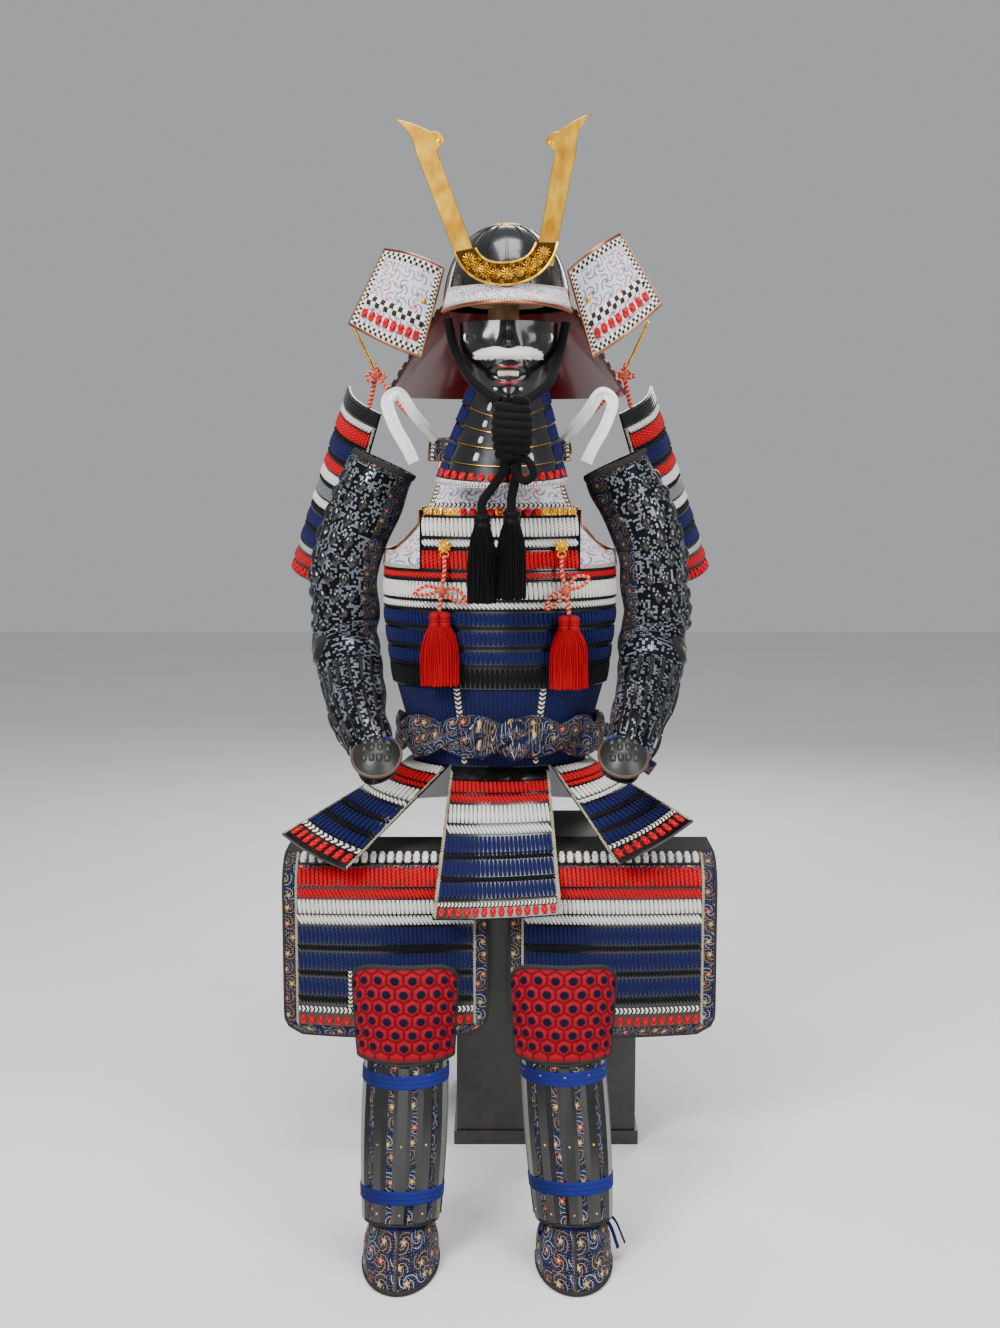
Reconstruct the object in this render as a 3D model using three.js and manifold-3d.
// A suit of samurai armour seated on its black storage box, carried by a plain hidden wooden stand.
// Millimetres, +Z up, the front towards -Y. The origin is on the underside of the box, below the middle of the cuirass.
import * as THREE from "three";
import { mergeVertices } from "three/addons/utils/BufferGeometryUtils.js";
import Module from "manifold-3d";

const wasm = await Module();
wasm.setup();

// Driving dimensions.
const GAP = 0.3; // between pieces that touch
const CLOTH = 2.5; // wall of laced plate and of quilted cloth
const HEAD = { x: 11, y: -70 }; // axis of the helmet
const FACE = { x: 13, y: -110 }; // axis of the mask
const BOWL = { brim: 1400, height: 130, wide: 100, long: 115, crown: 0.92, ribs: 16 };
const MASK = { top: 1372, chin: 1248, rise: 45, side: 78 };
const THROAT = { bottom: 1109, wide: 110, deep: 112 };
const CREST = { x: 14, y: -214, z: 1424, roll: 5, plate: 4 };
const TORSO = [
  // half width and half depth of the body at each height
  { z: 1150, wide: 142, deep: 98 },
  { z: 1072, wide: 172, deep: 118 },
  { z: 985, wide: 190, deep: 128 },
  { z: 900, wide: 192, deep: 130 },
  { z: 850, wide: 187, deep: 126 },
  { z: 777, wide: 176, deep: 117 },
  { z: 690, wide: 152, deep: 106 },
  { z: 640, wide: 144, deep: 101 },
];
const CHEST_TOP = 1150;
const LAME_TOP = 1072;
const LAME_BOTTOM = 777;
const LAMES = [1060, 1011, 960, 909, 876, 843, 812, LAME_BOTTOM]; // lower edges of the body lames
const SKIRT_BOTTOM = 642;
const STRAP = { inner: 62, outer: 116, top: 1187 };
const SASH = { z: 693, wide: 170.8, deep: 124.8, half: 36, thick: 13 };
const TASSET_TOP = 641;
const TASSETS = [
  // angles round the waist from the front, distance from the skirt, and the two lower corners
  { name: "tasset_front", from: -33, to: 33, out: 3.6, a: [-108, -268, 424], b: [99, -268, 432] },
  { name: "tasset_front_left", from: -86, to: -35, out: 4.2, a: [-350, -250, 560], b: [-248, -250, 501] },
  { name: "tasset_front_right", from: 35, to: 86, out: 4.2, a: [189, -250, 509], b: [310, -250, 581] },
  { name: "tasset_side_left", from: -131, to: -89, out: 3.4, a: [-235, 190, 519], b: [-292, 20, 527] },
  { name: "tasset_side_right", from: 89, to: 131, out: 3.4, a: [292, 20, 527], b: [235, 190, 519] },
  { name: "tasset_back_left", from: -177, to: -134, out: 3.4, a: [-12, 262, 519], b: [-212, 208, 519] },
  { name: "tasset_back_right", from: 134, to: 177, out: 3.4, a: [212, 208, 519], b: [12, 262, 519] },
];
const BOX = { left: -90, right: 246, front: -160, back: 170, top: 510, wall: 12, base: 24, lip: 5, drop: 60 };
const THIGH = { lid: 511, back: -64, edge: -160, face: -215, bottom: 222, sag: 8 };
const THIGH_ROWS = [501, 453, 408, 365, 320, 276, 264, 246, 222]; // lower edges of the thigh rows
const ARM = [
  // centre and radius of the left sleeve from the shoulder to the cuff
  { x: -194, y: 5, z: 1150, r: 57 },
  { x: -224, y: 5, z: 1085, r: 60 },
  { x: -258, y: 2, z: 1000, r: 58 },
  { x: -266, y: 2, z: 920, r: 58 },
  { x: -264, y: 0, z: 855, r: 57 },
  { x: -251, y: -60, z: 795, r: 54 },
  { x: -233, y: -140, z: 748, r: 48 },
  { x: -214, y: -208, z: 711, r: 40 },
  { x: -190, y: -266, z: 666, r: 29 },
];
const LEG_SIDES = [
  { side: "left", x: -138, foot: -144 },
  { side: "right", x: 92, foot: 107 },
];
const SHIN = { top: 288.6, front: 72, back: 56, wide: 56, deep: 60, y: -490, lean: -58 };
const KNEE = { top: 436, bottom: 291, wide: 76, deep: 60, y: -488 };
const FOOT = { toe: -673, heel: -452, half: 56, ankle: 72, ring: 34, ringY: -540 };
const CORD = 7.5; // radius of the chin cord

const point = (x, y, z) => new THREE.Vector3(x, y, z);
const radians = THREE.MathUtils.degToRad;
const mix = THREE.MathUtils.lerp;
const bump = (x, centre, spread) => Math.exp(-(((x - centre) / spread) ** 2));

// Finishes.
const finish = (color, roughness, metalness = 0) =>
  new THREE.MeshStandardMaterial({ color, roughness, metalness });
const lacquer = finish(0x101014, 0.18);
const lacing = finish(0x1c2052, 0.7);
const scarlet = finish(0xd71428, 0.7);
const brocade = finish(0x252c44, 0.75);
const leather = finish(0xd9d6d2, 0.6);
const gold = finish(0xd7aa46, 0.3, 1);
const braid = finish(0x0b0b0c, 0.8);
const cotton = finish(0xf0eeea, 0.85);
const wood = finish(0x9b7650, 0.6);
const blackWood = finish(0x141312, 0.4);

// A closed solid from points and triangles: shared points are merged, flat triangles are dropped, faces point out.
function solidFrom(position, index) {
  const geometry = new THREE.BufferGeometry();
  geometry.setAttribute("position", new THREE.Float32BufferAttribute(position, 3));
  geometry.setIndex(index);
  const merged = mergeVertices(geometry, 2e-3);
  const whole = [];
  for (let i = 0; i < merged.index.count; i += 3) {
    const [a, b, c] = [0, 1, 2].map((k) => merged.index.getX(i + k));
    if (a !== b && b !== c && a !== c) whole.push([a, b, c]);
  }
  const make = (triangles) =>
    new wasm.Manifold(
      new wasm.Mesh({
        numProp: 3,
        vertProperties: new Float32Array(merged.attributes.position.array),
        triVerts: new Uint32Array(triangles.flat()),
      }),
    );
  const solid = make(whole);
  return solid.volume() < 0 ? make(whole.map(([a, b, c]) => [a, c, b])) : solid;
}

function solidOf(geometry, place = new THREE.Matrix4()) {
  const bare = geometry.clone().applyMatrix4(place);
  bare.deleteAttribute("normal");
  bare.deleteAttribute("uv");
  const indexed = mergeVertices(bare, 2e-3);
  return solidFrom(Array.from(indexed.attributes.position.array), Array.from(indexed.index.array));
}

const join = (solids) => solids.reduce((whole, next) => whole.add(next));

const at = (x, y, z) => new THREE.Matrix4().makeTranslation(x, y, z);

const block = (x0, x1, y0, y1, z0, z1) =>
  solidOf(new THREE.BoxGeometry(x1 - x0, y1 - y0, z1 - z0), at((x0 + x1) / 2, (y0 + y1) / 2, (z0 + z1) / 2));

const root = new THREE.Group();

function add(name, solid, material, parent = root) {
  const { vertProperties, triVerts } = solid.getMesh();
  const geometry = new THREE.BufferGeometry();
  geometry.setAttribute("position", new THREE.BufferAttribute(vertProperties, 3));
  geometry.setIndex(new THREE.BufferAttribute(triVerts, 1));
  const mesh = new THREE.Mesh(geometry, material);
  mesh.name = name;
  parent.add(mesh);
  return mesh;
}

function normalOf(surface, u, v) {
  const step = 1e-3;
  const [u0, u1] = [Math.max(u - step, -1), u + step];
  const [v0, v1] = [Math.max(v - step, 0), Math.min(v + step, 1)];
  const across = surface(u1, v).sub(surface(u0, v));
  return across.cross(surface(u, v1).sub(surface(u, v0))).normalize();
}

// A wall over surface(u, v). At each step of u it has a closed section of [v, lift] pairs, and lift is the distance
// from the surface along its normal. A closed wall runs round and meets itself at u = 1.
function wall(surface, steps, section, { closed = false, side = 1 } = {}) {
  const places = Array.isArray(steps) ? steps : Array.from({ length: steps + 1 }, (_, i) => i / steps);
  const columns = places.length - 1;
  const rings = closed ? columns : columns + 1;
  const sections = places.slice(0, rings).map((u) => (typeof section === "function" ? section(u) : section));
  const count = sections[0].length;
  const position = [];
  sections.forEach((pairs, ring) =>
    pairs.forEach(([v, lift]) => {
      const u = places[ring];
      const p = surface(u, v).addScaledVector(normalOf(surface, u, v), side * lift);
      position.push(p.x, p.y, p.z);
    }),
  );
  const index = [];
  for (let ring = 0; ring < columns; ring++)
    for (let k = 0; k < count; k++) {
      const next = (ring + 1) % rings;
      const [a, b] = [ring * count + k, ring * count + ((k + 1) % count)];
      const [c, d] = [next * count + k, next * count + ((k + 1) % count)];
      index.push(a, b, d, a, d, c);
    }
  if (!closed)
    [0, rings - 1].forEach((ring) => {
      const flat = sections[ring].map(([v, lift]) => new THREE.Vector2(v * 300, lift));
      const turn = Math.sign(THREE.ShapeUtils.area(flat));
      for (const [a, b, c] of THREE.ShapeUtils.triangulateShape(flat, [])) {
        const same = Math.sign(THREE.ShapeUtils.area([flat[a], flat[b], flat[c]])) === turn;
        const ordered = same === (ring === 0) ? [a, c, b] : [a, b, c];
        index.push(...ordered.map((k) => ring * count + k));
      }
    });
  return solidFrom(position, index);
}

// The section of laced plates: each row stands out further at its lower edge, over a plain inside.
function laced(ends, { thick = CLOTH, low = 1.5, high = 5, start = 0, inside = 2 } = {}) {
  const outer = ends.flatMap((end, i) => [
    [i ? ends[i - 1] : start, thick + low],
    [end, thick + high],
  ]);
  const last = ends[ends.length - 1];
  const inner = Array.from({ length: inside + 1 }, (_, i) => [mix(last, start, i / inside), 0]);
  return [...outer, ...inner];
}

// The section of a plain wall with so many bands between its edges.
function plain(bands, thick = CLOTH, inside = bands) {
  const outer = Array.from({ length: bands + 1 }, (_, i) => [i / bands, thick]);
  const inner = Array.from({ length: inside + 1 }, (_, i) => [1 - i / inside, 0]);
  return [...outer, ...inner];
}

// A value of a table at a height, on a smooth curve through its rows.
function valueAt(table, z, key) {
  let i = table.findIndex((row) => row.z <= z);
  i = i < 1 ? 1 : i;
  const [before, above, below, after] = [i - 2, i - 1, i, i + 1].map(
    (k) => table[Math.min(Math.max(k, 0), table.length - 1)],
  );
  const t = Math.min(Math.max((above.z - z) / (above.z - below.z), 0), 1);
  const slope = (p, q) => ((q[key] - p[key]) / (p.z - q.z || 1)) * (above.z - below.z);
  const [m0, m1] = [slope(before, below), slope(above, after)];
  const [t2, t3] = [t * t, t * t * t];
  return (
    (2 * t3 - 3 * t2 + 1) * above[key] + (t3 - 2 * t2 + t) * m0 + (3 * t2 - 2 * t3) * below[key] + (t3 - t2) * m1
  );
}

// A point of the body's inner surface at an angle from the front, in degrees, and a height.
const onTorso = (degrees, z, out = 0) =>
  point(
    (valueAt(TORSO, z, "wide") + out) * Math.sin(radians(degrees)),
    -(valueAt(TORSO, z, "deep") + out) * Math.cos(radians(degrees)),
    z,
  );

// A round solid along a smooth path. ripple gives the radius as a share at a place along it and round it.
function roll(path, steps, sides, wide, tall, ripple = () => 1, closed = false) {
  const curve = new THREE.CatmullRomCurve3(path, closed);
  const position = [];
  const index = [];
  const rings = closed ? steps : steps + 1;
  for (let i = 0; i < rings; i++) {
    const t = i / steps;
    const centre = curve.getPoint(t);
    const ahead = curve.getTangent(t);
    const flat = ahead.clone().cross(Math.abs(ahead.z) > 0.9 ? point(0, 1, 0) : point(0, 0, 1)).normalize();
    const up = flat.clone().cross(ahead).normalize();
    for (let k = 0; k < sides; k++) {
      const angle = (2 * Math.PI * k) / sides;
      const share = ripple(t, angle);
      const p = centre
        .clone()
        .addScaledVector(flat, wide * share * Math.cos(angle))
        .addScaledVector(up, tall * share * Math.sin(angle));
      position.push(p.x, p.y, p.z);
    }
  }
  for (let i = 0; i < steps; i++)
    for (let k = 0; k < sides; k++) {
      const [a, b] = [i * sides + k, i * sides + ((k + 1) % sides)];
      const [c, d] = [((i + 1) % rings) * sides + k, ((i + 1) % rings) * sides + ((k + 1) % sides)];
      index.push(a, b, d, a, d, c);
    }
  if (!closed)
    for (let k = 1; k < sides - 1; k++) {
      const end = steps * sides;
      index.push(0, k + 1, k, end, end + k, end + k + 1);
    }
  return solidFrom(position, index);
}

// A cord: a round section swept along a smooth path.
function cord(path, radius, steps, sides = 8) {
  const section = new THREE.Shape(
    Array.from({ length: sides }, (_, k) => {
      const angle = (2 * Math.PI * k) / sides;
      return new THREE.Vector2(radius * Math.cos(angle), radius * Math.sin(angle));
    }),
  );
  const extrudePath = new THREE.CatmullRomCurve3(path);
  return solidOf(new THREE.ExtrudeGeometry(section, { steps, extrudePath, curveSegments: 1 }));
}

// Helmet. The bowl is a dome of ribbed plates, open at the brim and at a small crown hole.
function onBowl(u, v, out = 0) {
  const angle = 2 * Math.PI * u;
  const rise = (v * Math.PI) / 2;
  const share = Math.cos(rise) ** 0.85;
  return point(
    HEAD.x + (BOWL.wide + out) * share * Math.sin(angle),
    HEAD.y - (BOWL.long + out) * share * Math.cos(angle),
    BOWL.brim + BOWL.height * Math.sin(rise),
  );
}
const ribHeight = 1.6;
const bowlSection = (u) => {
  const rib = Math.round(u * BOWL.ribs * 2) % 2 ? 0 : ribHeight;
  const outer = [0, 0.22, 0.45, 0.68, BOWL.crown].map((v) => [v, CLOTH + rib]);
  return [...outer, ...[BOWL.crown, 0.6, 0.3, 0].map((v) => [v, 0])];
};
add("helmet_bowl", wall(onBowl, BOWL.ribs * 2, bowlSection, { closed: true }), lacquer);

const bowlEdge = CLOTH + ribHeight + GAP + 0.4;
const PEAK = { turn: 60, top: 1426, drop: 38, reach: 190, wide: 100, side: 85 };
function onPeak(u, v) {
  const angle = radians(mix(-PEAK.turn, PEAK.turn, u));
  const [wide, long] = [BOWL.wide + bowlEdge, BOWL.long + bowlEdge];
  const inner = point(wide * Math.sin(angle), -long * Math.cos(angle), PEAK.top);
  const share = (Math.cos(angle) - Math.cos(radians(PEAK.turn))) / (1 - Math.cos(radians(PEAK.turn)));
  const outer = point(
    (PEAK.wide * Math.sin(angle)) / Math.sin(radians(PEAK.turn)),
    -mix(PEAK.side, PEAK.reach, share),
    PEAK.top - PEAK.drop + 5 * share,
  );
  return inner.lerp(outer, v).add(point(HEAD.x, HEAD.y, 0));
}
const peakSection = [[0, 3], [0.5, 3.6], [0.93, 3], [0.95, 4.5], [1, 4.5], [1, 0], [0.5, 0], [0, 0]];
add("helmet_peak", wall(onPeak, 10, peakSection, { side: -1 }), leather);

const GUARD = { turn: 100, top: 1401, bottom: 1258, wide: 194, deep: 204 };
function onGuard(u, v) {
  const angle = radians(mix(-GUARD.turn, GUARD.turn, u));
  return point(
    HEAD.x + mix(BOWL.wide + bowlEdge, GUARD.wide, v) * Math.sin(angle),
    HEAD.y + mix(BOWL.long + bowlEdge, GUARD.deep, v) * Math.cos(angle),
    mix(GUARD.top, GUARD.bottom, v),
  );
}
add("neck_guard", wall(onGuard, 16, laced([0.2, 0.4, 0.6, 0.8, 1], { inside: 1 })), lacing);

// Turnbacks: the printed leather wings at the ends of the neck guard's top lames.
const TURNBACKS = [
  {
    side: "left",
    inTop: [-92, -99.8, 1462],
    inLow: [-129, -96.8, 1320],
    outTop: [-187, -72, 1494],
    outLow: [-247, -66, 1376],
  },
  {
    side: "right",
    inTop: [111, -99.8, 1458],
    inLow: [152, -96.8, 1320],
    outTop: [195, -72, 1518],
    outLow: [264, -66, 1408],
  },
];
for (const { side, inTop, inLow, outTop, outLow } of TURNBACKS) {
  const wing = (u, v) => {
    const low = point(...inLow).lerp(point(...outLow), u);
    const top = point(...inTop).lerp(point(...outTop), u);
    const swell = Math.sin(Math.PI * u);
    return top.lerp(low, v).add(point(0, -20 * swell, 4 * swell * (1 - 2 * v)));
  };
  const section = [[0, 3], [0.5, 3.6], [1, 3], [1, 0], [0.5, 0], [0, 0]];
  add(`turnback_${side}`, wall(wing, 6, section, { side: side === "left" ? 1 : -1 }), leather);
}

// Crest: an openwork base plate on the bowl's front, and two gilt horns slotted in behind it.
const crest = new THREE.Group();
crest.position.set(CREST.x, CREST.y, CREST.z);
crest.rotation.y = -radians(CREST.roll);
root.add(crest);
const baseShape = new THREE.Shape()
  .moveTo(-48, 62)
  .lineTo(-82, 58)
  .bezierCurveTo(-72, 20, -40, 0, 0, 0)
  .bezierCurveTo(40, 0, 72, 20, 82, 58)
  .lineTo(48, 62)
  .bezierCurveTo(40, 42, 24, 36, 0, 36)
  .bezierCurveTo(-24, 36, -40, 42, -48, 62);
// Turns a shape drawn in X and Y to stand in X and Z, its front face at y = front.
const upright = (front, thick) => new THREE.Matrix4().makeRotationX(Math.PI / 2).setPosition(0, front + thick, 0);
const plateOf = (shape, front, thick, curveSegments = 6) =>
  solidOf(new THREE.ExtrudeGeometry(shape, { depth: thick, bevelEnabled: false, curveSegments }), upright(front, thick));
const holder = block(-9, 9, 3, 28.4, 6, 30);
add("crest_base", plateOf(baseShape, 0, CREST.plate).add(holder), gold, crest);
const HORN_SEATS = [
  { side: "left", mirror: -1, seat: 8 },
  { side: "right", mirror: 1, seat: -10 },
];
const HORN = { lean: 14.9, thick: 3 };
for (const { side, mirror, seat } of HORN_SEATS) {
  const [dx, dz] = [Math.sin(radians(HORN.lean)) * seat, Math.cos(radians(HORN.lean)) * seat];
  const to = (x, z) => [mirror * (x + dx), z + dz];
  const horn = new THREE.Shape()
    .moveTo(...to(45, 34))
    .lineTo(...to(50, 57))
    .lineTo(...to(91, 206))
    .quadraticCurveTo(...to(84, 212), ...to(77, 221))
    .quadraticCurveTo(...to(84, 236), ...to(99, 235))
    .quadraticCurveTo(...to(122, 250), ...to(153, 259))
    .quadraticCurveTo(...to(126, 238), ...to(124, 205))
    .lineTo(...to(80, 56))
    .lineTo(...to(74, 34));
  add(`crest_horn_${side}`, plateOf(horn, CREST.plate + GAP, HORN.thick, 4), gold, crest);
}

// Mask: a lacquered half face of general proportions, open at the back.
const JAW = [
  { z: 1372, wide: 80, deep: 86 },
  { z: 1330, wide: 78, deep: 90 },
  { z: 1290, wide: 67, deep: 86 },
  { z: 1248, wide: 50, deep: 76 },
  { z: 1240, wide: 48, deep: 74 },
];
const jawBottom = (angle) => MASK.chin + MASK.rise * (1 - Math.cos(angle));
function onFace(angle, z) {
  return point(
    FACE.x + valueAt(JAW, z, "wide") * Math.sin(angle),
    FACE.y - valueAt(JAW, z, "deep") * Math.cos(angle),
    z,
  );
}
const faceAngle = (u) => radians(mix(-MASK.side, MASK.side, u));
const onMask = (u, v) => onFace(faceAngle(u), mix(MASK.top, jawBottom(faceAngle(u)), v));
const maskSection = (u) => {
  const across = 90 * Math.sin(faceAngle(u));
  const relief = (z) =>
    20 * bump(across, 0, 12) * bump(z, 1328, 15) +
    9 * bump(across, 0, 9) * bump(z, 1360, 20) +
    6 * bump(across, 0, 26) * bump(z, 1300, 7) -
    7 * bump(across, 0, 22) * bump(z, 1289, 5) +
    4 * bump(across, 0, 22) * bump(z, 1280, 6) +
    8 * bump(across, 0, 22) * bump(z, 1258, 12) +
    5 * bump(Math.abs(across), 46, 16) * bump(z, 1345, 18);
  const rows = [0, 0.12, 0.24, 0.34, 0.42, 0.52, 0.58, 0.64, 0.7, 0.78, 0.9, 1];
  const outer = rows.map((v) => [v, 2 + relief(mix(MASK.top, jawBottom(faceAngle(u)), v))]);
  return [...outer, [1, 0], [0.66, 0], [0.33, 0], [0, 0]];
};
const maskSteps = [0, 0.1, 0.2, 0.29, 0.36, 0.42, 0.46, 0.5, 0.54, 0.58, 0.64, 0.71, 0.8, 0.9, 1];
const mask = wall(onMask, maskSteps, maskSection, { side: -1 });
add("mask", mask, lacquer);

// Moustache: a tuft of stiff white hair laid along the upper lip, cut to sit on the mask.
const tuft = roll(
  [
    point(-45, -176, 1305),
    point(-18, -197, 1311),
    point(FACE.x, -201, 1313),
    point(44, -197, 1311),
    point(71, -176, 1305),
  ],
  10,
  8,
  8,
  11,
  (t) => 1 - 0.55 * Math.abs(2 * t - 1) ** 3,
);
const spread = [[-GAP, 0, 0], [GAP, 0, 0], [0, -GAP, 0], [0, -GAP, GAP], [0, -GAP, -GAP]];
const seatFor = (solid) => spread.map((by) => solid.translate(by));
add("moustache", seatFor(mask).reduce((rest, cut) => rest.subtract(cut), tuft).decompose()
  .sort((a, b) => b.volume() - a.volume())[0], cotton);

// Throat guard: five lacquered plates hung from the jaw, spreading over the chest.
function onThroat(u, v) {
  const angle = faceAngle(mix(0.04, 0.96, u));
  const top = onFace(angle, jawBottom(angle)).add(point(0, 0, -2.2));
  const low = point(
    2 + THROAT.wide * Math.sin(angle),
    FACE.y - 2 - THROAT.deep * Math.cos(angle),
    THROAT.bottom + 10 * (1 - Math.cos(angle)),
  );
  return top.lerp(low, v);
}
const throatRows = laced([0.2, 0.38, 0.56, 0.76, 1], { inside: 1, thick: 2, high: 3.5 });
add("throat_guard", wall(onThroat, 12, throatRows, { side: -1 }), lacquer);

// Chin cord: two stretches from the helmet's sides to a wrapped knot under the chin, and two tails to tassels.
const KNOT = { x: 19, y: -252, top: 1252, wide: 34, deep: 24, turns: 7, pitch: 14 };
const chinRoutes = {
  left: [
    [-84, -122, 1378],
    [-75.6, -137.7, 1340],
    [-61.6, -169.1, 1306],
    [-42, -210, 1276],
    [-14, -235, 1254],
    [2, -246, 1246],
  ],
  right: [
    [106, -122, 1372],
    [97.6, -137.2, 1334],
    [87.6, -168.6, 1302],
    [76, -210, 1274],
    [52, -235, 1254],
    [38, -246, 1246],
  ],
};
const wrapProfile = [new THREE.Vector2(0, 0)];
for (let turn = 0; turn < KNOT.turns; turn++) {
  const low = KNOT.pitch * turn;
  const size = KNOT.wide * (1 - 0.25 * Math.abs((2 * turn) / (KNOT.turns - 1) - 1) ** 2);
  wrapProfile.push(new THREE.Vector2(size - 5, low + 0.5), new THREE.Vector2(size, low + KNOT.pitch / 2));
}
const knotHeight = KNOT.pitch * KNOT.turns;
wrapProfile.push(new THREE.Vector2(0, knotHeight));
const knotPlace = new THREE.Matrix4()
  .makeTranslation(KNOT.x, KNOT.y, KNOT.top - knotHeight)
  .multiply(new THREE.Matrix4().makeScale(1, KNOT.deep / KNOT.wide, 1))
  .multiply(new THREE.Matrix4().makeRotationX(Math.PI / 2));
const knot = solidOf(new THREE.LatheGeometry(wrapProfile, 12), knotPlace);
add("cord_knot", knot, braid);
const clearOf = (solid, other) => seatFor(other).reduce((rest, cut) => rest.subtract(cut), solid);
const largest = (solid) => solid.decompose().sort((a, b) => b.volume() - a.volume())[0];
for (const [side, route] of Object.entries(chinRoutes)) {
  const stretch = cord(route.map((p) => point(...p)), CORD, 12);
  add(`chin_cord_${side}`, largest(clearOf(stretch, knot)), braid);
}

// A tassel: a bound head and thread bundles that hang from it, fused at their roots.
function tassel({ x, y, top, head, long, strands, root: rootRadius, flare, wide = 1 }) {
  const outline = [[0, 0], [0.85, 0], [1, 0.3], [0.8, 0.55], [1, 0.75], [0.55, 1], [0, 1]];
  const profile = outline.map(([r, h]) => new THREE.Vector2(r * rootRadius * 1.18, h * head));
  const place = at(x, y, top - head).multiply(new THREE.Matrix4().makeRotationX(Math.PI / 2)).scale(point(wide, 1, 1));
  const pieces = [solidOf(new THREE.LatheGeometry(profile, 9), place)];
  const golden = Math.PI * (3 - Math.sqrt(5));
  for (let i = 0; i < strands; i++) {
    const share = Math.sqrt((i + 0.5) / strands);
    const [c, s] = [Math.cos(i * golden), Math.sin(i * golden)];
    const from = point(x + wide * c * share * rootRadius * 0.9, y + s * share * rootRadius * 0.9, top - head + 3);
    const to = point(x + wide * c * share * flare, y + s * share * flare, top - long + ((i * 7) % 5));
    pieces.push(roll([from, to], 1, 3, 1.3, 1.3));
  }
  return join(pieces);
}
const BLACK_TASSELS = [
  { side: "left", x: -28, y: -240, top: 1072, from: 6 },
  { side: "right", x: 18, y: -240, top: 1078, from: 26 },
];
for (const { side, x, y, top, from } of BLACK_TASSELS) {
  add(`black_tassel_${side}`, tassel({ x, y, top, head: 24, long: 142, strands: 30, root: 13, flare: 22 }), braid);
  const low = KNOT.top - knotHeight;
  const route = [
    point(from, KNOT.y, low - 0.8),
    point(from, KNOT.y, low - 16),
    point(mix(from, x, 0.5), mix(KNOT.y, y, 0.5), mix(low, top, 0.5)),
    point(x, y, top + 16),
    point(x, y, top + 0.6),
  ];
  add(`cord_tail_${side}`, cord(route, CORD, 6), braid);
}

// Cuirass: a chest board over laced front and back halves, cut away for the arms.
const armholeShape = new THREE.Shape()
  .moveTo(97, 1250)
  .lineTo(99, 1130)
  .quadraticCurveTo(118, 1040, 176, 1003)
  .lineTo(260, 1003)
  .lineTo(260, 1250);
const armholes = [1, -1].map((mirror) =>
  solidOf(
    new THREE.ExtrudeGeometry(armholeShape, { depth: 600, bevelEnabled: false, curveSegments: 5 }),
    new THREE.Matrix4().makeScale(mirror, 1, 1).multiply(upright(-300, 600)),
  ),
);
const bodyWall = (middle, low, high) => (u, v) =>
  onTorso(middle + mix(-90 + GAP / 4, 90 - GAP / 4, u), mix(high, low, v));
const bodyRows = LAMES.map((z) => (LAME_TOP - z) / (LAME_TOP - LAME_BOTTOM));
const halves = { front: 0, back: 180 };
const bodies = {};
for (const [half, middle] of Object.entries(halves)) {
  const body = wall(bodyWall(middle, LAME_BOTTOM, LAME_TOP), 14, laced(bodyRows, { inside: 4 }), { side: -1 });
  bodies[half] = largest(armholes.reduce((rest, cut) => rest.subtract(cut), body));
  add(`cuirass_${half}`, bodies[half], lacing);
}
const boardTurn = 44;
const onBoard = (middle) => (u, v) =>
  onTorso(middle + mix(-boardTurn, boardTurn, u), mix(CHEST_TOP, LAME_TOP + GAP, v));
const chest = armholes.reduce((rest, cut) => rest.subtract(cut), wall(onBoard(0), 10, plain(2), { side: -1 }));
add("chest_board", largest(chest), leather);
const backBoard = armholes.reduce((rest, cut) => rest.subtract(cut), wall(onBoard(180), 10, plain(2), { side: -1 }));
add("back_board", largest(backBoard), leather);

const straps = {};
for (const [side, mirror] of [["left", -1], ["right", 1]]) {
  const strap = (u, v) => {
    const turn = radians(mix(-90, 90, u));
    const x = mix(STRAP.inner, STRAP.outer, v);
    const end = onTorso((Math.asin(Math.min(x / valueAt(TORSO, CHEST_TOP, "wide"), 1)) * 180) / Math.PI, CHEST_TOP);
    const low = CHEST_TOP + GAP + 0.7;
    return point(mirror * x, -end.y * Math.sin(turn), low + (STRAP.top - low) * Math.max(Math.cos(turn), 0) ** 0.8);
  };
  straps[side] = wall(strap, 10, plain(1, 4), { side: -mirror });
  add(`strap_${side}`, straps[side], brocade);
}

// Suspension laces: a tapering skirt of cords from the lowest lame to the tassets.
const onSkirt = (u, v) => onTorso(360 * u, mix(LAME_BOTTOM - GAP, SKIRT_BOTTOM, v));
add("lace_skirt", wall(onSkirt, 24, plain(3, CLOTH, 2), { closed: true, side: -1 }), lacing);

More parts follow.
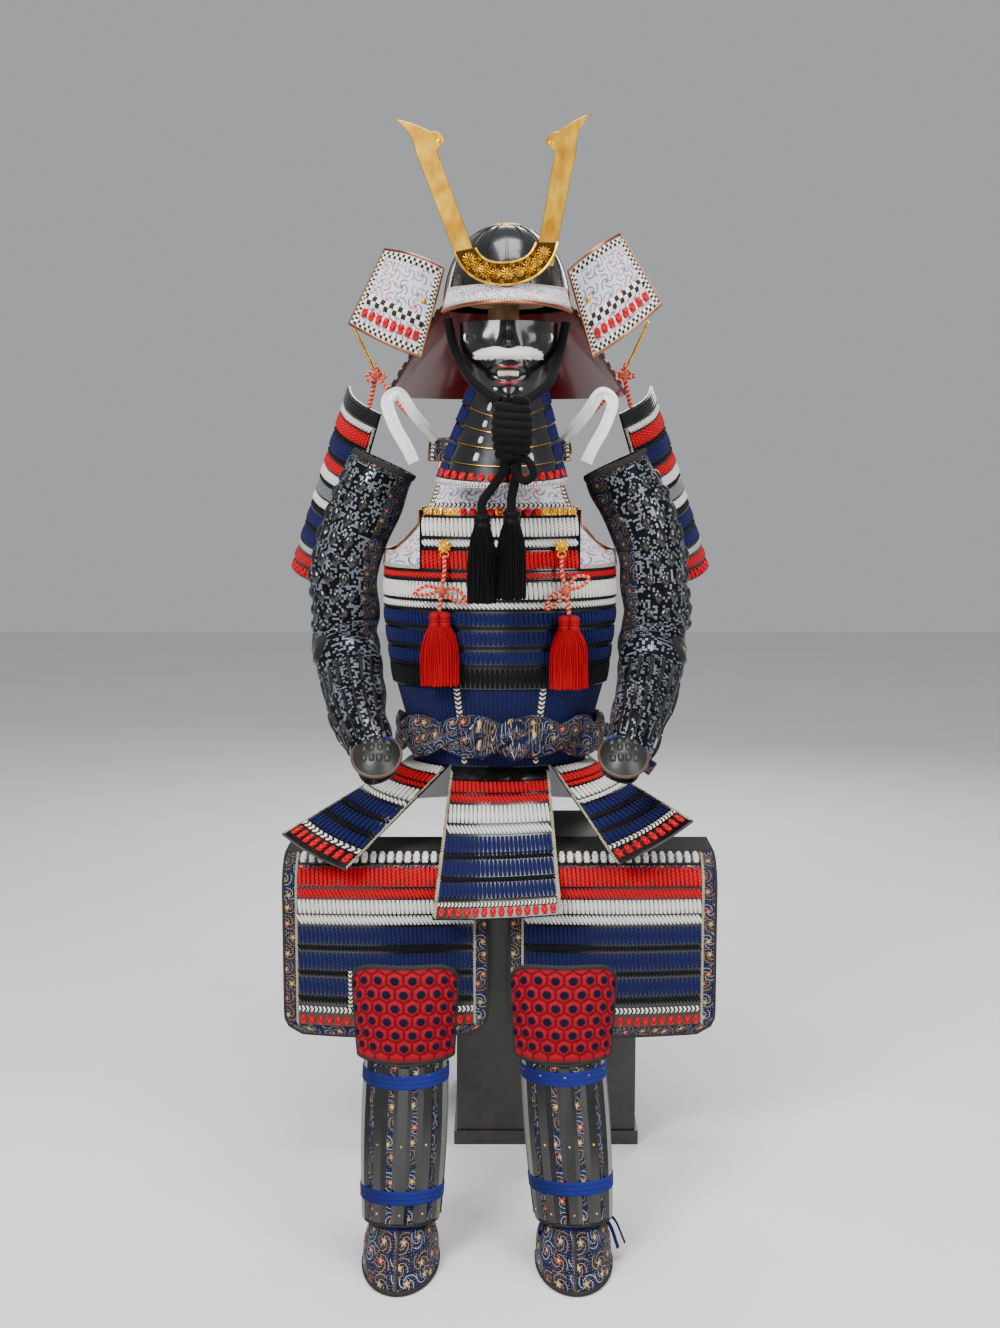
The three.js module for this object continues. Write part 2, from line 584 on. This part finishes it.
// Chest bows: a flecked cord tied in a bow below a ring, over two red tassels side by side, made as one.
const BOWS = [
  { side: "left", x: -91, tassel: -99, top: 907 },
  { side: "right", x: 101, tassel: 113, top: 901 },
];
const BOW = { y: -137, ring: 1000, seat: -114, knot: 943, cord: 2.6, pair: 1.7 };
for (const { side, x, tassel: tasselX, top } of BOWS) {
  const centre = point(mix(x, tasselX, 0.6), BOW.y, BOW.knot);
  const loop = (dx, dz) => {
    const tip = centre.clone().add(point(dx, -6, dz));
    const [upper, lower] = [7, -7].map((w) => centre.clone().lerp(tip, 0.6).add(point(0, 0, w)));
    return cord([centre, upper, tip, lower, centre.clone().add(point(0, 2, 0))], BOW.cord, 8, 6);
  };
  const stem = cord([point(x, BOW.seat, BOW.ring), point(x, BOW.y, mix(BOW.ring, BOW.knot, 0.5)), centre], BOW.cord, 4, 6);
  const drop = cord([centre, point(tasselX, BOW.y - 2, top + 1)], BOW.cord, 2, 6);
  const ball = solidOf(new THREE.SphereGeometry(8, 8, 6), at(centre.x, centre.y, centre.z));
  const bow = join([stem, loop(-34, -12), loop(34, -12), drop, ball]);
  add(`chest_bow_${side}`, largest(clearOf(bow, bodies.front)), scarlet);
  const threads = { long: 122, strands: 32, root: 11, flare: 19, wide: BOW.pair };
  const shape = { x: tasselX, y: BOW.y - 2, top, head: 26, ...threads };
  add(`red_tassel_${side}`, tassel(shape), scarlet);
}

// Sash: a twisted roll of brocade round the waist, with a knot in front and a free end at the right.
const sashPath = Array.from({ length: 12 }, (_, i) => {
  const angle = (2 * Math.PI * i) / 12;
  return point(SASH.wide * Math.sin(angle), -SASH.deep * Math.cos(angle), SASH.z + 5 * Math.cos(2 * angle));
});
const twist = (turns, depth) => (t, angle) => 1 - depth + depth * Math.cos(2 * angle + 2 * Math.PI * turns * t);
const band = roll(sashPath, 32, 8, SASH.thick, SASH.half, twist(7, 0.08), true);
add("sash_wrap", band, brocade);
const knotY = -SASH.deep - SASH.thick - 21;
const knotPath = [-62, -34, 0, 34, 62].map((x) => point(x + 8, knotY + Math.abs(x) / 6, SASH.z + 5));
const sashKnot = roll(knotPath, 12, 8, 22, 34, (t, a) => twist(2, 0.16)(t, a) * (1 - 0.5 * Math.abs(2 * t - 1) ** 3));
add("sash_knot", largest(clearOf(sashKnot, band)), brocade);
const tailPath = [point(178, 40, 688), point(200, 46, 672), point(232, 40, 640), point(268, 26, 614)];
add("sash_tail", largest(clearOf(roll(tailPath, 6, 8, 9, 15), band)), brocade);

// Tassets: laced boards hung round the waist, ruled from the skirt's lower edge to their own lower corners.
const tassetRows = [0.1, 0.2, 0.32, 0.44, 0.58, 0.74, 0.9, 1];
for (const { name, from, to, out, a, b } of TASSETS) {
  const surface = (u, v) => {
    const top = onTorso(mix(from, to, u), TASSET_TOP, out);
    const low = point(...a).lerp(point(...b), u);
    const swell = 9 * Math.sin(Math.PI * u) * v;
    const facing = radians((from + to) / 2);
    return top.lerp(low, v).add(point(Math.sin(facing), -Math.cos(facing), 0).multiplyScalar(swell));
  };
  add(name, wall(surface, 3, laced(tassetRows, { inside: 1, high: 4.5 }), { side: -1 }), lacing);
}

// Thigh panels: laid on the lid by their leather top, bent over the edge and hanging in laced rows.
const PANELS = [
  { side: "left", x0: -352, x1: -21 },
  { side: "right", x0: 16, x1: 351 },
];
const bend = THIGH.edge - THIGH.face;
const flatRun = THIGH.back - THIGH.edge;
const bendRun = (bend * Math.PI) / 2;
const dropRun = THIGH.lid - bend - THIGH.bottom;
const panelLength = flatRun + bendRun + dropRun;
function panelPoint(v) {
  const run = v * panelLength;
  if (run < flatRun) return { y: THIGH.back - run, z: THIGH.lid };
  const turn = (run - flatRun) / bend;
  if (run < flatRun + bendRun)
    return { y: THIGH.edge - bend * Math.sin(turn), z: THIGH.lid - bend * (1 - Math.cos(turn)) };
  return { y: THIGH.face, z: THIGH.lid - bend - (run - flatRun - bendRun) };
}
const runTo = (z) => {
  const fall = THIGH.lid - z;
  const run = fall < bend ? flatRun + bend * Math.acos(1 - fall / bend) : flatRun + bendRun + fall - bend;
  return run / panelLength;
};
const panelSection = () => {
  const starts = [0, flatRun / panelLength, runTo(508)];
  const outer = starts.map((v) => [v, CLOTH]);
  THIGH_ROWS.forEach((z, i) => {
    outer.push([i ? runTo(THIGH_ROWS[i - 1]) : runTo(508) + 0.004, CLOTH + 1], [runTo(z), CLOTH + 4]);
  });
  const inner = [THIGH.bottom, 330, THIGH.lid - bend, 495, 508].map((z) => [runTo(z), 0]);
  return [...outer, ...inner, [flatRun / panelLength, 0], [0, 0]];
};
for (const { side, x0, x1 } of PANELS) {
  const surface = (u, v) => {
    const { y, z } = panelPoint(v);
    const hang = Math.max(0, (THIGH.lid - z) / (THIGH.lid - THIGH.bottom));
    return point(mix(x0, x1, u), y, z + GAP - THIGH.sag * hang * Math.sin(Math.PI * u));
  };
  add(`haidate_${side}`, wall(surface, 4, panelSection(), { side: -1 }), lacing);
}

// Sleeves: quilted brocade tubes from the shoulder to the cuff, open at both ends, and hand plates beyond.
function onArm(mirror) {
  const centres = new THREE.CatmullRomCurve3(ARM.map(({ x, y, z }) => point(mirror * -x, y, z)));
  const radii = new THREE.SplineCurve(ARM.map(({ r }, i) => new THREE.Vector2(i, r)));
  return (u, v) => {
    const centre = centres.getPoint(v);
    const ahead = centres.getTangent(v);
    const across = ahead.clone().cross(point(0, -1, 0.25)).normalize();
    const other = across.clone().cross(ahead).normalize();
    const r = radii.getPoint(v).y + 1.6 * Math.sin(26 * v) * Math.cos(2 * Math.PI * u);
    const angle = 2 * Math.PI * u;
    return centre.addScaledVector(across, r * Math.cos(angle)).addScaledVector(other, r * Math.sin(angle));
  };
}
const sleeves = {};
for (const [side, mirror] of [["left", -1], ["right", 1]]) {
  const tube = wall(onArm(mirror), 12, plain(9, -CLOTH, 7), { closed: true, side: -1 });
  sleeves[side] = tube;
  add(`sleeve_${side}`, tube, brocade);
}
const HANDS = [
  { side: "left", x: -195, y: -263, z: 688.5 },
  { side: "right", x: 195, y: -263, z: 688.5 },
];
for (const { side, x, y, z } of HANDS) {
  const tilt = new THREE.Matrix4().makeRotationX(-radians(50)).setPosition(x, y, z);
  const dome = (u, v) => {
    const [a, b] = [2 * u - 1, 2 * v - 1];
    const [dx, dy] = [a * Math.sqrt(1 - (b * b) / 2), b * Math.sqrt(1 - (a * a) / 2)];
    return point(37 * dx, 0, -42 * dy).add(point(0, -22 * (1 - 0.9 * (dx * dx + dy * dy)), 0)).applyMatrix4(tilt);
  };
  add(`hand_plate_${side}`, largest(clearOf(wall(dome, 6, plain(5, 3, 3), { side: -1 }), sleeves[side])), lacquer);
}

// Shoulder guards: laced boards that hang outside and behind the arms.
const SODE = { inTop: [205, 62, 1232], outTop: [269, 182, 1284], outLow: [386, 262, 953], inLow: [300, 108, 926] };
const sodeRows = [0.08, 0.2, 0.32, 0.44, 0.56, 0.68, 0.82, 0.94, 1];
for (const [side, mirror] of [["left", -1], ["right", 1]]) {
  const surface = (u, v) => {
    const top = point(...SODE.inTop).lerp(point(...SODE.outTop), u);
    const low = point(...SODE.inLow).lerp(point(...SODE.outLow), u);
    const swell = 16 * Math.sin(Math.PI * u);
    const p = top.lerp(low, v).add(point(swell * 0.9, -swell * 0.45, 0));
    return point(mirror * p.x, p.y, p.z);
  };
  const guard = wall(surface, 4, laced(sodeRows, { inside: 2, high: 4.5 }), { side: -mirror });
  add(`sode_${side}`, guard, lacing);
  const knotAt = point(mirror * 214, 66, 1300);
  const pin = cord([knotAt, point(mirror * 232, 52, 1340), point(mirror * 253, 36, 1387)], 3, 3);
  const ball = solidOf(new THREE.SphereGeometry(11, 8, 6), at(knotAt.x, knotAt.y, knotAt.z));
  const tie = cord([knotAt, point(mirror * 221, 72, 1270), point(mirror * 228, 80, 1240)], 4, 3);
  const lead = cord([knotAt, point(mirror * 166, 40, 1240), point(mirror * 110, 12, 1186)], 4, 4);
  const toggle = clearOf(clearOf(join([pin, ball, tie, lead]), guard), straps[side]);
  add(`shoulder_toggle_${side}`, largest(toggle), scarlet);
}

// Shoulder ribbons: a folded white tape tied at the front of each strap.
for (const [side, mirror] of [["left", -1], ["right", 1]]) {
  const path = new THREE.CatmullRomCurve3(
    [
      [106, -52, 1185.6],
      [140, -104, 1228],
      [166, -122, 1262],
      [182, -126, 1250],
      [172, -128, 1212],
      [150, -128, 1172],
      [140, -126, 1150],
    ]
      .map(([x, y, z]) => point(mirror * x, y, z)),
  );
  const tape = (u, v) =>
    path
      .getPoint(THREE.MathUtils.clamp(u, 0, 1))
      .add(point(mirror * mix(-8, 8, v), mix(-3, 3, v), mix(-6, 6, v)));
  add(`shoulder_ribbon_${side}`, wall(tape, 12, plain(1, 1.6), { side: mirror }), cotton);
}

// Legs: a splinted shin guard open at the back, a quilted knee guard above it and a soft foot cover below.
for (const { side, x, foot } of LEG_SIDES) {
  const shin = (u, v) => {
    const angle = radians(mix(-118, 118, u));
    const low = mix(SHIN.front, SHIN.back, (1 - Math.cos(angle)) / 1.5);
    const z = mix(SHIN.top, low, v);
    const size = 1 + 0.06 * Math.sin(Math.PI * v) - 0.08 * v;
    return point(
      mix(x, foot, v) + SHIN.wide * size * Math.sin(angle),
      SHIN.y + SHIN.lean * v - SHIN.deep * size * Math.cos(angle),
      z,
    );
  };
  const splints = 7;
  const steps = [0];
  for (let i = 0; i < splints; i++) steps.push(...[0.2, 0.26, 0.74, 0.8].map((edge) => (i + edge) / splints));
  steps.push(1);
  const splintSection = (u) => {
    const part = (u * splints) % 1;
    const lift = part > 0.23 && part < 0.77 ? CLOTH + 3 : CLOTH;
    return [[0, lift], [0.35, lift], [0.7, lift], [1, lift], [1, 0], [0.5, 0], [0, 0]];
  };
  add(`shin_${side}`, wall(shin, steps, splintSection, { side: -1 }), lacquer);

  const knee = (u, v) => {
    const s = mix(-1, 1, u);
    const angle = radians(74 * s);
    const top = KNEE.top - 30 * Math.abs(s) ** 4;
    const size = 1 - 0.09 * v;
    const z = mix(top, KNEE.bottom, v);
    const out = KNEE.deep * size * Math.cos(angle) + 6 * Math.sin(Math.PI * v);
    return point(x + KNEE.wide * size * Math.sin(angle), KNEE.y - out, z);
  };
  const kneeSection = [[0, 5], [0.12, 6], [0.5, 6], [1, 5], [1, 0], [0.5, 0], [0, 0]];
  add(`knee_${side}`, wall(knee, 10, kneeSection, { side: -1 }), scarlet);

  const middle = (FOOT.toe + FOOT.heel) / 2;
  const reach = (FOOT.heel - FOOT.toe) / 2;
  const upper = (u, v) => {
    const angle = 2 * Math.PI * u;
    const narrow = 1 - 0.16 * Math.cos(angle) ** 2;
    const half = FOOT.half * (Math.cos(angle) > 0 ? 1 : narrow);
    const low = point(foot + half * Math.sin(angle), middle - reach * Math.cos(angle), 3);
    const high = point(foot + FOOT.ring * Math.sin(angle), FOOT.ringY - FOOT.ring * Math.cos(angle), FOOT.ankle);
    const swell = Math.sin(Math.PI * v);
    const p = low.lerp(high, v);
    return p.add(point(5 * swell * Math.sin(angle), -9 * swell * Math.cos(angle), 9 * swell));
  };
  const rim = Array.from({ length: 16 }, (_, i) => upper(i / 16, 0.02));
  const outline = new THREE.Shape(rim.map((p) => new THREE.Vector2(p.x, p.y)));
  const sole = solidOf(new THREE.ExtrudeGeometry(outline, { depth: 7, bevelEnabled: false }));
  const cover = wall(upper, 16, plain(3, -CLOTH, 2), { closed: true, side: -1 });
  add(`foot_${side}`, cover.add(sole), brocade);
}

// Storage box: a tray with a plinth, and a lid whose rim drops over the tray's walls.
const inset = BOX.lip + BOX.wall;
const tray = block(BOX.left + inset, BOX.right - inset, BOX.front + inset, BOX.back - inset, 0, BOX.top - BOX.wall - GAP);
const ledge = inset - BOX.lip;
const plinth = block(BOX.left + ledge, BOX.right - ledge, BOX.front + ledge, BOX.back - ledge, 0, BOX.base);
const trayHollow = block(
  BOX.left + inset + BOX.wall, BOX.right - inset - BOX.wall,
  BOX.front + inset + BOX.wall, BOX.back - inset - BOX.wall, BOX.wall, BOX.top,
);
add("box_body", tray.add(plinth).subtract(trayHollow), blackWood);
const lid = block(BOX.left, BOX.right, BOX.front, BOX.back, BOX.top - BOX.drop, BOX.top);
const lidHollow = block(
  BOX.left + inset - GAP, BOX.right - inset + GAP,
  BOX.front + inset - GAP, BOX.back - inset + GAP, 0, BOX.top - BOX.wall,
);
add("box_lid", lid.subtract(lidHollow), blackWood);

// Stand: a foot on the lid, a post, a shoulder bar, an arm to the head block and a peg behind the mask.
const blockTop = [0.6, 0.9].map((v) => {
  const rise = (v * Math.PI) / 2;
  return new THREE.Vector2((BOWL.wide - 2) * Math.cos(rise) ** 0.85, BOWL.brim + BOWL.height * Math.sin(rise) - 1.7);
});
const headProfile = [
  new THREE.Vector2(0, BOWL.brim + 4),
  new THREE.Vector2(blockTop[0].x, BOWL.brim + 4),
  ...blockTop,
  new THREE.Vector2(0, blockTop[1].y),
];
const headPlace = at(HEAD.x, HEAD.y, 0)
  .multiply(new THREE.Matrix4().makeScale(1, BOWL.long / BOWL.wide, 1))
  .multiply(new THREE.Matrix4().makeRotationX(Math.PI / 2));
const strapUnder = STRAP.top - GAP;
const peg = solidOf(new THREE.CylinderGeometry(8, 8, 184, 8), at(FACE.x, -105.6, 1340));
const stand = join([
  block(-70, 80, -60, 60, BOX.top + GAP, BOX.top + 18),
  block(-20, 24, -22, 22, BOX.top + 10, BOWL.brim + 6),
  block(-119, 119, -20, 20, strapUnder - 36, strapUnder - 2.1),
  block(-9, 31, HEAD.y - 20, 10, BOWL.brim - 26, BOWL.brim + 8),
  solidOf(new THREE.LatheGeometry(headProfile, 14), headPlace),
  peg,
]);
add("stand", stand, wood);

export default root;
